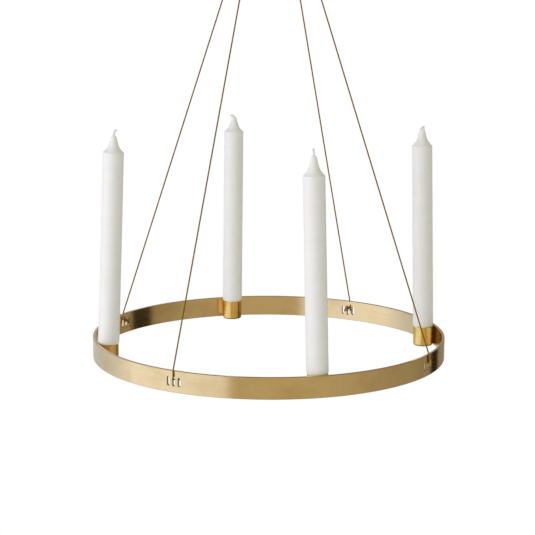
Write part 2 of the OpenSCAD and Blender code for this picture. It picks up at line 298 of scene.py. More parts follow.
def add_piece(name, shape, finish, body, slot, node, place=None, normals=None, sharp=None):
    """Makes a piece from points, faces and places. It stands for a node and rides on a body."""
    points, faces, places = shape
    mesh = bpy.data.meshes.new(name)
    mesh.from_pydata([tuple(p) for p in points], [], faces)
    mesh.validate()
    turned = bmesh.new()
    turned.from_mesh(mesh)
    bmesh.ops.recalc_face_normals(turned, faces=turned.faces)
    turned.to_mesh(mesh)
    turned.free()
    mesh.polygons.foreach_set("use_smooth", [True] * len(mesh.polygons))
    if places:
        layer = mesh.uv_layers.new(name="Along")
        for loop in mesh.loops:
            layer.data[loop.index].uv = places[loop.vertex_index]
    if sharp:
        mesh.set_sharp_from_angle(angle=math.radians(sharp))
    if normals:
        mesh.normals_split_custom_set_from_vertices([Vector(n).normalized() for n in normals])
    mesh.materials.append(finish)
    piece = added(name, mesh)
    if place:
        piece.matrix_world = place
    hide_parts(node)
    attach(piece, body)
    return piece


# Materials


def feed(tree, node, inputs):
    """Gives a node its inputs: each is a value, a colour, or the socket that it comes from."""
    for name, value in inputs.items():
        socket = node.inputs[name]
        if isinstance(value, bpy.types.NodeSocket):
            tree.links.new(value, socket)
        else:
            socket.default_value = (*value, 1.0) if socket.type == "RGBA" else value


def add_node(tree, kind, inputs=None, **settings):
    """Adds a node with its settings and inputs."""
    node = tree.nodes.new(kind)
    for name, value in settings.items():
        setattr(node, name, value)
    feed(tree, node, inputs or {})
    return node


def new_material(name, space="Object"):
    """An empty material: itself, its tree, its shader and the coordinates of its patterns."""
    material = bpy.data.materials.new(name)
    material.use_nodes = True
    tree = material.node_tree
    where = add_node(tree, "ShaderNodeTexCoord").outputs[space]
    return material, tree, tree.nodes["Principled BSDF"], where


def new_metal(name, anisotropy, turned=True):
    """An empty metal, whose marks spread a reflection across them. They run round Z if turned."""
    material, tree, shader, where = new_material(name)
    inputs = {"Metallic": 1.0, "Anisotropic": anisotropy, "Anisotropic Rotation": 0.25}
    if turned:
        round_z = add_node(tree, "ShaderNodeTangent", direction_type="RADIAL", axis="Z")
        inputs["Tangent"] = round_z.outputs[0]
    feed(tree, shader, inputs)
    return material, tree, shader, where


def grain(tree, where, scale, detail=3.0):
    """Noise with its own number of grains to the metre along each axis, centred on a half."""
    spread = add_node(tree, "ShaderNodeMapping", {"Vector": where, "Scale": scale}).outputs[0]
    inputs = {"Vector": spread, "Scale": 1.0, "Detail": detail, "Roughness": 0.6}
    return add_node(tree, "ShaderNodeTexNoise", inputs).outputs[0]


def overlaid(tree, under, over, pattern, low, high, start=0.0, end=1.0):
    """Lays a colour over another, by a share from start to end as a pattern goes low to high."""
    inputs = {"Value": pattern, 1: low, 2: high, 3: start, 4: end}
    share = add_node(tree, "ShaderNodeMapRange", inputs, interpolation_type="SMOOTHSTEP")
    inputs = {0: share.outputs[0], 6: under, 7: over}
    return add_node(tree, "ShaderNodeMix", inputs, data_type="RGBA").outputs[2]


def surfaced(tree, shader, colour, pattern, rough, depth, strength, height=None):
    """Gives a shader its colour, and roughness and marks that follow a pattern.

    rough is where in the pattern the roughness begins and ends to change, and its two values.
    Marks are depth metres deep, and follow a height of their own where it is given.
    """
    inputs = dict(enumerate((pattern, *rough)))
    shine = add_node(tree, "ShaderNodeMapRange", inputs, interpolation_type="SMOOTHSTEP")
    height = pattern if height is None else height
    inputs = {"Height": height, "Distance": depth, "Strength": strength}
    bump = add_node(tree, "ShaderNodeBump", inputs).outputs[0]
    feed(tree, shader, {"Base Color": colour, "Roughness": shine.outputs[0], "Normal": bump})


def brushed_brass(colours):
    """Brass strip, brushed along its length: level lines that spread a reflection up and down."""
    material, tree, shader, where = new_metal("brushed_brass", 0.7)
    # Lines 0.35 mm apart stand in for the belt's finer ones, which would not show.
    lines = grain(tree, where, (9, 9, 1 / (0.35 * MM)))
    # Clouds of thin tarnish are about 45 mm wide and 30 mm high.
    clouds = grain(tree, where, (1 / (45 * MM), 1 / (45 * MM), 1 / (30 * MM)), 4.0)
    body = overlaid(tree, colours.brass, colours.brass_deep, clouds, 0.42, 0.68, 0.0, 0.5)
    body = overlaid(tree, body, colours.brass_deep, lines, 0.35, 0.75, 0.0, 0.12)
    # A painted highlight: the strip's upper and lower edges, over their rounding, are painted
    # paler.
    height = add_node(tree, "ShaderNodeSeparateXYZ", {0: where}).outputs[2]
    height = add_node(tree, "ShaderNodeMath", {0: height, 1: -BAND_MIDDLE}).outputs[0]
    off = add_node(tree, "ShaderNodeMath", {0: height}, operation="ABSOLUTE").outputs[0]
    half = BAND_TALL / 2
    body = overlaid(tree, body, colours.edge, off, half - 0.9 * MM, half - 0.2 * MM)
    surfaced(tree, shader, body, lines, (0.3, 0.8, 0.16, 0.24), 0.01 * MM, 0.25)
    return material


def turned_brass(colours):
    """Drawn brass cup, polished on a lathe: level rings in a deeper brass than the strip's."""
    material, tree, shader, where = new_metal("turned_brass", 0.6)
    feed(tree, shader, {"Specular Tint": colours.cup_sheen})
    # Tool rings are 0.5 mm apart, and clouds of tarnish 12.5 mm wide.
    rings = grain(tree, where, (15, 15, 1 / (0.5 * MM)), 2.0)
    clouds = grain(tree, where, (1 / (12.5 * MM),) * 3, 4.0)
    body = overlaid(tree, colours.cup, colours.cup_deep, clouds, 0.4, 0.7, 0.0, 0.7)
    # A painted highlight: the lip is painted paler.
    height = add_node(tree, "ShaderNodeSeparateXYZ", {0: where}).outputs[2]
    body = overlaid(tree, body, colours.painted_lip_highlight, height, CUP_TALL - 0.9 * MM, CUP_TALL - 0.3 * MM)
    surfaced(tree, shader, body, rings, (0.3, 0.8, 0.2, 0.3), 0.015 * MM, 0.3)
    return material


def drawn_brass(colours):
    """Brass wire, drawn and rubbed: fine pits and a soft shine."""
    material, tree, shader, where = new_metal("drawn_brass_wire", 0.2, turned=False)
    # Patches of tarnish are about 8 mm wide, and pits 0.6 mm.
    clouds = grain(tree, where, (120, 120, 120), 5.0)
    pits = grain(tree, where, (1 / (0.6 * MM),) * 3)
    body = overlaid(tree, colours.brass, colours.brass_deep, clouds, 0.4, 0.7)
    surfaced(tree, shader, body, pits, (0.3, 0.8, 0.24, 0.38), 0.02 * MM, 0.4)
    return material


def hard_solder(colours):
    """Hard solder, left as it flowed: dull, slightly crazed, and darker than the brass."""
    material, tree, shader, where = new_metal("hard_solder", 0.0, turned=False)
    # Its skin is crazed every 0.8 mm.
    skin = grain(tree, where, (1 / (0.8 * MM),) * 3, 4.0)
    surfaced(tree, shader, colours.solder, skin, (0.3, 0.7, 0.35, 0.6), 0.1 * MM, 0.5)
    return material


def candle_wax(colours):
    """Stearin wax, dipped: light goes in a few millimetres, and the skin is satin."""
    material, tree, shader, where = new_material("dipped_candle_wax")
    inputs = {"Subsurface Weight": 0.5, "Subsurface Radius": (1.0, 0.85, 0.65)}
    feed(tree, shader, {**inputs, "Subsurface Scale": 4 * MM, "IOR": 1.44})
    # Dipping leaves level waves 9 mm apart, and the wax's crystals are grains of 1.2 mm.
    waves = grain(tree, where, (30, 30, 110), 2.0)
    crystals = grain(tree, where, (1 / (1.2 * MM),) * 3, 4.0)
    warm = tuple(c * t for c, t in zip(colours.wax, (0.99, 0.98, 0.96)))
    body = overlaid(tree, warm, colours.wax, waves, 0.3, 0.7)
    # Painted light: the wax just above its cup is painted in a warm tone, for light bounced off the
    # brass.
    height = add_node(tree, "ShaderNodeSeparateXYZ", {0: where}).outputs[2]
    body = overlaid(tree, body, colours.wax_painted_bounce_light, height, CUP_TALL, CUP_TALL + 7 * MM, 0.8, 0.0)
    faint = add_node(tree, "ShaderNodeMath", {0: crystals, 1: 0.15}, operation="MULTIPLY")
    skin = add_node(tree, "ShaderNodeMath", {0: waves, 1: faint.outputs[0]}).outputs[0]
    surfaced(tree, shader, body, crystals, (0.3, 0.7, 0.4, 0.55), 0.04 * MM, 0.3, skin)
    return material


def cotton(colours):
    """Plaited cotton, waxed: fine threads along each strand under a thin skin of wax."""
    material, tree, shader, where = new_material("waxed_plaited_cotton", "UV")
    # Threads are 0.5 mm wide round a strand, and wander every 1.5 mm.
    threads = grain(tree, where, (6, 1 / (1.5 * MM), 1), 2.0)
    body = overlaid(tree, [c * 0.9 for c in colours.wick], colours.wick, threads, 0.35, 0.7)
    inputs = {"Height": threads, "Distance": 0.06 * MM, "Strength": 0.7}
    bump = add_node(tree, "ShaderNodeBump", inputs).outputs[0]
    inputs = {"Base Color": body, "Normal": bump, "Roughness": 0.6}
    feed(tree, shader, {**inputs, "Subsurface Weight": 0.2, "Subsurface Scale": 1 * MM})
    return material


def leather_lace(name, tone, dark):
    """Round leather lace, cut, rolled and oiled: a fine grain along it and hardly any shine."""
    material, tree, shader, where = new_material(name, "UV")
    # Grain is 0.5 mm wide and 2 mm long, and worn patches are 12 mm long.
    fibres = grain(tree, where, (9, 1 / (2 * MM), 1), 4.0)
    patches = grain(tree, where, (1.5, 1 / (12 * MM), 1))
    body = overlaid(tree, dark, tone, fibres, 0.3, 0.62)
    body = overlaid(tree, body, [c * 1.25 for c in tone], patches, 0.45, 0.75, 0.0, 0.35)
    feed(tree, shader, {"Specular IOR Level": 0.0})
    surfaced(tree, shader, body, fibres, (0.3, 0.7, 0.7, 0.55), 0.05 * MM, 0.6)
    return material


def shown_white(tree, lit, out, kind):
    """Shows plain white where the camera or a reflection sees a surface, and lights as lit."""
    path = add_node(tree, "ShaderNodeLightPath")
    seen = path.outputs["Is Camera Ray"]
    for ray in ("Is Glossy Ray", "Is Transmission Ray"):
        inputs = {0: seen, 1: path.outputs[ray]}
        seen = add_node(tree, "ShaderNodeMath", inputs, operation="MAXIMUM").outputs[0]
    white = add_node(tree, kind, {"Color": (1, 1, 1), "Strength": 1.0})
    inputs = {0: seen, 1: lit.outputs[0], 2: white.outputs[0]}
    feed(tree, out, {0: add_node(tree, "ShaderNodeMixShader", inputs).outputs[0]})


# Stage: camera, floor, lamps and the room that the brass reflects


class WREATH_OT_stage(bpy.types.Operator):
    """Sets the camera at the photograph's place, with soft lamps and a pale floor"""

    bl_idname = "wreath.stage"
    bl_label = "Stage"

    # The camera's place and aim, before the wreath's own turn about Z.
    TURN = 15.147
    TURNED = Matrix.Rotation(-math.radians(TURN), 4, "Z")
    DISTANCE = 1.875267
    ABOVE_BAND = 0.470065
    PITCH, YAW, ROLL = 0.197571, -0.000926, -0.004735
    FOCAL_PX, FRAME_PX, SENSOR = 1774.932, 535, 36.0
    CLIP = (0.05, 50)
    FLOOR_DROP, FLOOR_HALF = 0.9, 12.0
    # Each lamp's place, width, watts and tone. Heights are above the band's middle, as is AIM.
    AIM = 0.1
    LAMPS = {
        "key": (-1.9, -0.95, 0.6, 1.2, 19, "#EDECFF"),
        "fill": (-0.5, -2.2, 0.5, 1.6, 10, "#F6F6FF"),
        "bounce": (1.6, 0.7, 0.2, 1.4, 2.2, "#FFF2A0"),
        "back": (0.3, 2.2, 0.5, 1.6, 9, "#F6F6FF"),
    }
    WORLD_TONE, WORLD_STRENGTH = "#FFFEF2", 0.5
    # The studio as the brass shows it: turns clockwise from the backdrop, with their tones.
    WALLS = (
        (0, "#BEB9AC"), (10, "#BAB4A6"), (20, "#A89F8C"), (28, "#8E8270"), (58, "#A09070"),
        (68, "#93856A"), (80, "#A09272"), (104, "#A59778"), (118, "#B3A482"), (150, "#BFAF88"),
        (201, "#C4B48F"), (206, "#F2F0EA"), (240, "#FFFFFF"), (272, "#FFFFFF"), (290, "#DCDDE2"),
        (322, "#C6CAD0"), (340, "#CDCFD0"), (352, "#DCDCD8"), (360, "#BEB9AC"),
    )
    WALL_STEPS = 3
    # Half the room's width, the room's ends above the floor and the band's middle, how bright its
    # cards are, and how bright its walls are at their top beside the rest.
    REACH, LIFT, TOP, STRENGTH, TOP_SHARE = 1.8, 0.02, 0.75, 1.05, 0.5
    CEILING_TONE, FLOOR_TONE = "#6E675A", "#8A8474"
    # The two faces of a dark stand to the right and behind: place, turn, half width, tone.
    STAND = (
        ("stand_front", 0.49, 0.255, 152.5, 0.065, "#150D05"),
        ("stand_side", 0.45, 0.215, 44, 0.13, "#2C2416"),
    )
    STAND_TOP = 0.12

    def execute(self, context):
        scene = context.scene
        scene.view_settings.view_transform = "Standard"
        floor_z = BAND_LOW.z - self.FLOOR_DROP
        self.camera(scene)
        self.floor(scene.wreath_finishes, floor_z)
        self.world(scene)
        self.lamps()
        self.room(floor_z + self.LIFT, BAND_MIDDLE + self.TOP)
        return {"FINISHED"}

    def camera(self, scene):
        """Puts the camera where the photograph was taken."""
        level = math.cos(self.PITCH)
        way = (math.sin(self.YAW) * level, math.cos(self.YAW) * level, -math.sin(self.PITCH))
        forward = Vector(way)
        right = Vector((math.cos(self.YAW), -math.sin(self.YAW), 0))
        down = forward.cross(right)
        c, s = math.cos(self.ROLL), math.sin(self.ROLL)
        data = bpy.data.cameras.new("camera")
        data.sensor_width = self.SENSOR
        data.lens = self.FOCAL_PX / self.FRAME_PX * self.SENSOR
        data.clip_start, data.clip_end = self.CLIP
        axes = Matrix((c * right + s * down, s * right - c * down, -forward))
        pose = axes.transposed().to_4x4()
        pose.translation = Vector((0, -self.DISTANCE, BAND_LOW.z + self.ABOVE_BAND))
        scene.camera = added("camera", data)
        scene.camera.matrix_world = self.TURNED @ pose

    def floor(self, colours, z):
        """Lays a pale matt floor that keeps the object's shadow."""
        mesh = bpy.data.meshes.new("floor")
        mesh.from_pydata(square(self.FLOOR_HALF, z), [], [(0, 1, 2, 3)])
        added("floor", mesh)
        material, tree, shader = new_material("matt_floor_paint")[:3]
        feed(tree, shader, {"Base Color": colours.floor, "Roughness": 0.9})
        shown_white(tree, shader, tree.nodes["Material Output"], "ShaderNodeEmission")
        mesh.materials.append(material)

    def world(self, scene):
        """Gives soft light from all round."""
        scene.world = bpy.data.worlds.new("studio")
        scene.world.use_nodes = True
        tree = scene.world.node_tree
        lit = tree.nodes["Background"]
        feed(tree, lit, {"Color": linear(self.WORLD_TONE), "Strength": self.WORLD_STRENGTH})
        shown_white(tree, lit, tree.nodes["World Output"], "ShaderNodeBackground")

    def lamps(self):
        """Hangs the lamps. The brass shows the studio's walls, and none of the lamps."""
        aim = self.TURNED @ Vector((0, 0, BAND_MIDDLE + self.AIM))
        for name, (x, y, z, width, power, tone) in self.LAMPS.items():
            data = bpy.data.lights.new(name, "AREA")
            data.shape, data.size, data.energy = "SQUARE", width, power
            data.color = linear(tone)
            place = self.TURNED @ Vector((x, y, BAND_MIDDLE + z))
            facing = (aim - place).to_track_quat("-Z", "Y").to_matrix().to_4x4()
            lamp = added(name, data)
            lamp.matrix_world = Matrix.Translation(place) @ facing
            lamp.visible_glossy = False

    def card(self, name, points, faces, tones):
        """Hangs a matt card that only reflections show, with a tone at each of its corners."""
        mesh = bpy.data.meshes.new(name)
        mesh.from_pydata(points, [], faces)
        layer = mesh.color_attributes.new("tone", "FLOAT_COLOR", "POINT")
        for corner, tone in zip(layer.data, tones):
            corner.color = (*tone, 1.0)
        card = added(name, mesh)
        material = bpy.data.materials.new(name + "_matt_paint")
        material.use_nodes = True
        tree = material.node_tree
        tree.nodes.clear()
        tone = add_node(tree, "ShaderNodeVertexColor", layer_name="tone").outputs[0]
        paint = add_node(tree, "ShaderNodeEmission", {"Color": tone, "Strength": self.STRENGTH})
        add_node(tree, "ShaderNodeOutputMaterial", {"Surface": paint.outputs[0]})
        mesh.materials.append(material)
        card.visible_camera = card.visible_diffuse = card.visible_shadow = False
        card.visible_transmission = card.visible_volume_scatter = False

    def walls(self, low, high):
        """Hangs the studio's walls, dimmer towards their top."""
        points, tones, faces = [], [], []
        for (start, first), (end, last) in zip(self.WALLS, self.WALLS[1:]):
            first, last = Vector(linear(first)), Vector(linear(last))
            for k in range(self.WALL_STEPS):
                share = k / self.WALL_STEPS
                a = math.radians(start + (end - start) * share + self.TURN)
                x, y = self.REACH * math.sin(a), self.REACH * math.cos(a)
                points += [(x, y, low), (x, y, BAND_MIDDLE), (x, y, high)]
                tone = first.lerp(last, share)
                tones += [tone, tone, tone * self.TOP_SHARE]
        for k in range(0, len(points), 3):
            j = (k + 3) % len(points)
            faces += [(k, j, j + 1, k + 1), (k + 1, j + 1, j + 2, k + 2)]
        self.card("studio_walls", points, faces, tones)

    def room(self, low, high):
        """Hangs what the brass shows: the walls, the dark stand, the ceiling and a dim floor."""
        self.walls(low, high)
        top = BAND_MIDDLE + self.STAND_TOP
        flats = []
        for name, x, y, turn, half, code in self.STAND:
            a = math.radians(turn)
            along = half * Vector((math.sin(a), math.cos(a), 0))
            ends = ((-1, low), (1, low), (1, top), (-1, top))
            corners = [self.TURNED @ (Vector((x, y, z)) + side * along) for side, z in ends]
            flats.append((name, corners, code))
        flats.append(("ceiling", square(self.REACH, high), self.CEILING_TONE))
        flats.append(("dim_floor", square(self.REACH, low), self.FLOOR_TONE))
        for name, corners, code in flats:
            self.card(name, corners, [(0, 1, 2, 3)], [linear(code)] * 4)


# Cords, knots and hitches

# Where a front and a back cord leave their hitch, as outward, sideways, up. Outward runs along the
# diagonal of the cord's own quarter.
EXITS = {"front": (0.0077, -0.0031, -0.0513), "back": (0.0020, 0.0067, -0.0535)}
# Places along a cord's straight run, as shares of it.
RUN = (0, 0.08, 0.24, 0.4, 0.56, 0.72, 0.88, 0.95)
# The bend over the band as outward and up, in shares of the cord's diameter: from the band's upper
# outer edge, and then from the height at which the cord goes through its slot.
OVER_EDGE = ((0.27, 1), (0.4, 0.67), (0.53, -0.33), (0.53, -2.33))
INTO_SLOT = ((0.53, 2), (0.4, 1.27), (-0.07, 0.6), (-0.73, 0.13), (-1.47, 0))
# The cord goes through its slot 1.75 mm above the band's middle.
CORD_Z = BAND_MIDDLE + 1.75 * MM


def flipped(path, right):
    """A path of the left side, or its mirror image on the right."""
    return [Vector((-p.x, p.y, p.z)) for p in path] if right else path


def cord_path(context, quarter):
    """The middle line of one free stretch of cord, from its hitch to its knot."""
    end, side = quarter.split("_")
    band, across = context.scene.wreath_band, 2 * context.scene.wreath_cords.cord
    bend = [Vector((band.radius + across * x, 0, BAND_HIGH.z + across * z)) for x, z in OVER_EDGE]
    bend += [Vector((band.radius + across * x, 0, CORD_Z + across * z)) for x, z in INTO_SLOT]
    bend.append(Vector((band.radius - band.wall - across / 3, 0, CORD_Z)))
    run = [Vector(EXITS[end]).lerp(bend[0], share) for share in RUN]
    turn = QUARTERS[end + "_left"]
    return flipped([placed(p, turn) for p in run + bend], side == "right")


def add_lace(context, kind, place, path, radii, tight=False):
    """Makes a piece of cord along its middle line, in the leather of the cords or the knots."""
    colours = context.scene.wreath_finishes
    name, tone, slot = "waxed_leather_lace", colours.cord, "cord_brown"
    if tight:
        name, tone, slot = "creased_leather_lace", colours.knot, "knot_brown"
    leather = bpy.data.materials.get(name) or leather_lace(name, tone, colours.cord_dark)
    piece, node, shape = f"{kind}_lace_{place}", f"{kind}_{place}", tube(path, radii, 12)
    return add_piece(piece, shape, leather, "wreath", slot, node, sharp=50)


# A knot is an overhand curve, in millimetres, turned and tilted behind its slot. KNOT_ROOM keeps it
# clear of the band, and KNOT_CORD is the diameter of its cord, drawn tight.
KNOT_WIDE, KNOT_TALL, KNOT_DEEP = 0.77, 1.3, 1.4
KNOT_TURN, KNOT_TILT = math.radians(-56), math.radians(-14)
KNOT_UP, KNOT_ROOM, KNOT_CORD = 0.5, 0.3, 1.1
KNOT_IN = KNOT_ROOM + 1.5 / 2 + KNOT_DEEP + 1.45 * KNOT_CORD
KNOT_CUT, KNOT_STEPS = math.radians(10), 120
# Its lead from the slot and its tail from the loop's end, in shares of its cord's diameter.
KNOT_LEAD = ((0, 0.78, 0), (-0.58, 1.66, -0.3), (-1.16, 2.96, -0.84))
KNOT_TAIL = (
    (0, 0, 0), (-0.04, 0.04, -0.3), (-0.08, 0.08, -1.2), (-0.08, 0.08, -2.8), (-0.08, 0.08, -4.4),
)
# The share of the lead along which the cord gets thinner, and the bevel of its cut end.
KNOT_DRAWN, KNOT_BEVEL = 0.8, 0.12 * MM


def overhand(t):
    """A place on the knot's loop, as sideways, inwards, up from where the cord leaves its slot."""
    x, y = math.sin(t) + 2 * math.sin(2 * t), math.cos(t) - 2 * math.cos(2 * t)
    u = KNOT_WIDE * (x * math.cos(KNOT_TURN) - y * math.sin(KNOT_TURN))
    w = KNOT_TALL * (x * math.sin(KNOT_TURN) + y * math.cos(KNOT_TURN))
    across = u * math.cos(KNOT_TILT) + w * math.sin(KNOT_TILT)
    up = w * math.cos(KNOT_TILT) - u * math.sin(KNOT_TILT) + KNOT_UP
    return Vector((across, KNOT_IN + KNOT_DEEP * math.sin(3 * t), up))


def knot_curve():
    """The whole knot, from its lead to its tail, and the number of places in its lead."""
    start, end = math.pi + KNOT_CUT, 3 * math.pi - KNOT_CUT
    loop = [overhand(start + (end - start) * k / KNOT_STEPS) for k in range(KNOT_STEPS + 1)]
    lead = [KNOT_CORD * Vector(p) for p in KNOT_LEAD]
    tail = [loop[-1] + KNOT_CORD * Vector(p) for p in KNOT_TAIL]
    into = [Vector((0, 0.5, 0)), *smooth_path([*lead, loop[0]], 6)]
    return into[:-1] + loop + smooth_path(tail, 6)[1:], len(into)


class WREATH_OT_knots(bpy.types.Operator):
    """Ties the four stopper knots behind the band"""

    bl_idname = "wreath.knots"
    bl_label = "Knots"

    def execute(self, context):
        sizes, band = context.scene.wreath_cords, context.scene.wreath_band
        inner = band.radius - band.wall
        curve, led = knot_curve()
        thinner = sizes.knot_cord - sizes.cord
        drawn = [min(1.0, k / (KNOT_DRAWN * led)) for k in range(len(curve))]
        for quarter, turn in QUARTERS.items():
            path = [placed((inner - p.y * MM, p.x * MM, CORD_Z + p.z * MM), turn) for p in curve]
            radii = [sizes.cord + thinner * share for share in drawn]
            path, radii = with_cut_ends(path, radii, KNOT_BEVEL)
            add_lace(context, "knot", quarter, path, radii, tight=True)
        return {"FINISHED"}


# A hitch goes over the ring's wire, through its own bight and back. Its places are along the wire,
# forward to back, and up from the middle of the wire, in steps of one strand. A wrap's are along
# the wire, and round it by an angle.
STRAND, WRAP = 2.0, 3.4
BIGHT = ((1.35, -1.65, -1.25), (1.35, -2.8, -1.25), (0.7, -3.4, -1.2), (0, -3.5, -1.15))
WRAP_FRONT = ((-0.58, 45), (-0.8, 90), (-1.15, 135), (-1.4, 180), (-1.5, 225), (-1.5, 265))
WRAP_BACK = ((1.5, 265), (1.5, 225), (1.4, 180), (1.2, 135), (0.95, 90), (0.7, 45), (0.55, 10))


def wrap(turns):
    """Part of a hitch round the wire, WRAP millimetres from the wire's middle."""
    angles = [(x * STRAND, math.radians(a)) for x, a in turns]
    return [(x, -WRAP * math.cos(a), WRAP * math.sin(a)) for x, a in angles]


def hitch_curve(context):
    """The left hitch, from the front cord's first place to the back cord's."""
    sizes, band_radius = context.scene.wreath_cords, context.scene.wreath_band.radius
    ring_z = (RING_LOW.z + RING_HIGH.z) / 2
    hang = ring_z - BAND_HIGH.z
    pull = math.atan((band_radius + sizes.cord) / math.sqrt(2) / hang)
    c, s = math.cos(pull), math.sin(pull)
    bight = [(-x * STRAND, y * STRAND, z * STRAND) for x, y, z in BIGHT]
    bight += [(-x, y, z) for x, y, z in reversed(bight[:-1])]
    places = []
    for x, y, z in (*wrap(WRAP_FRONT), *bight, *wrap(WRAP_BACK)):
        along = (x * c + z * s) * MM - sizes.ring * s
        places.append((along, y * MM, (z * c - x * s) * MM + ring_z - sizes.ring * c))
    ends = []
    for quarter in ("front_left", "back_left"):
        first, second = cord_path(context, quarter)[:2]
        ends.append((first, first + (first - second).normalized() * sizes.cord))
    (front, front_lead), (back, back_lead) = ends
    return [front, *smooth_path([front_lead, *places, back_lead], 7), back]


class WREATH_OT_hitches(bpy.types.Operator):
    """Hitches each doubled cord over the hanging ring's wire"""

    bl_idname = "wreath.hitches"
    bl_label = "Hitches"

    def execute(self, context):
        curve = hitch_curve(context)
        radii = [context.scene.wreath_cords.cord] * len(curve)
        for side in ("left", "right"):
            add_lace(context, "hitch", side, flipped(curve, side == "right"), radii)
        return {"FINISHED"}


class WREATH_OT_cords(bpy.types.Operator):
    """Lays the four free stretches of cord from the hitches to the knots"""

    bl_idname = "wreath.cords"
    bl_label = "Cords"

    def execute(self, context):
        radius = context.scene.wreath_cords.cord
        for quarter in QUARTERS:
            path = softened(cord_path(context, quarter), 2)
            cord = add_lace(context, "cord", quarter, path, [radius] * len(path))
            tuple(path[0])
        return {"FINISHED"}


class WREATH_OT_hanging_ring(bpy.types.Operator):
    """Bends the hanging ring and brazes its ends together"""

    bl_idname = "wreath.hanging_ring"
    bl_label = "Hanging ring"

    STEPS, CORNERS = 240, 32
    # The brazed joint is a bead between two creases. Each has a height in millimetres, and a width
    # in degrees of the ring.
    JOINT = 62
    BEAD_HIGH, BEAD_WIDE = 0.12, 2.0
    CREASE_DEEP, CREASE_WIDE, CREASE_OFF = 0.06, 1.0, 4

    def execute(self, context):
        colours, sizes = context.scene.wreath_finishes, context.scene.wreath_cords
        middle = (RING_LOW + RING_HIGH) / 2
        points = []
        for i, (c, s) in enumerate(circle(self.STEPS)):
            off = (360 * i / self.STEPS - self.JOINT + 180) % 360 - 180
            bead = self.BEAD_HIGH * math.exp(-((off / self.BEAD_WIDE) ** 2))
            past = (abs(off) - self.CREASE_OFF) / self.CREASE_WIDE
            wire = sizes.wire + (bead - self.CREASE_DEEP * math.exp(-(past**2))) * MM
            for out, side in circle(self.CORNERS):
                reach = sizes.ring + wire * out
                points.append(middle + Vector((reach * c, wire * side, reach * s)))
        rows = [range(i * self.CORNERS, (i + 1) * self.CORNERS) for i in range(self.STEPS)]
        shape = (points, ringed([*rows, rows[0]]), None)
        brass = drawn_brass(colours)
        add_piece("ring_wire", shape, brass, "hook_ring", "ring_brass", "hanging_ring")
        return {"FINISHED"}


# Band, cups and solder


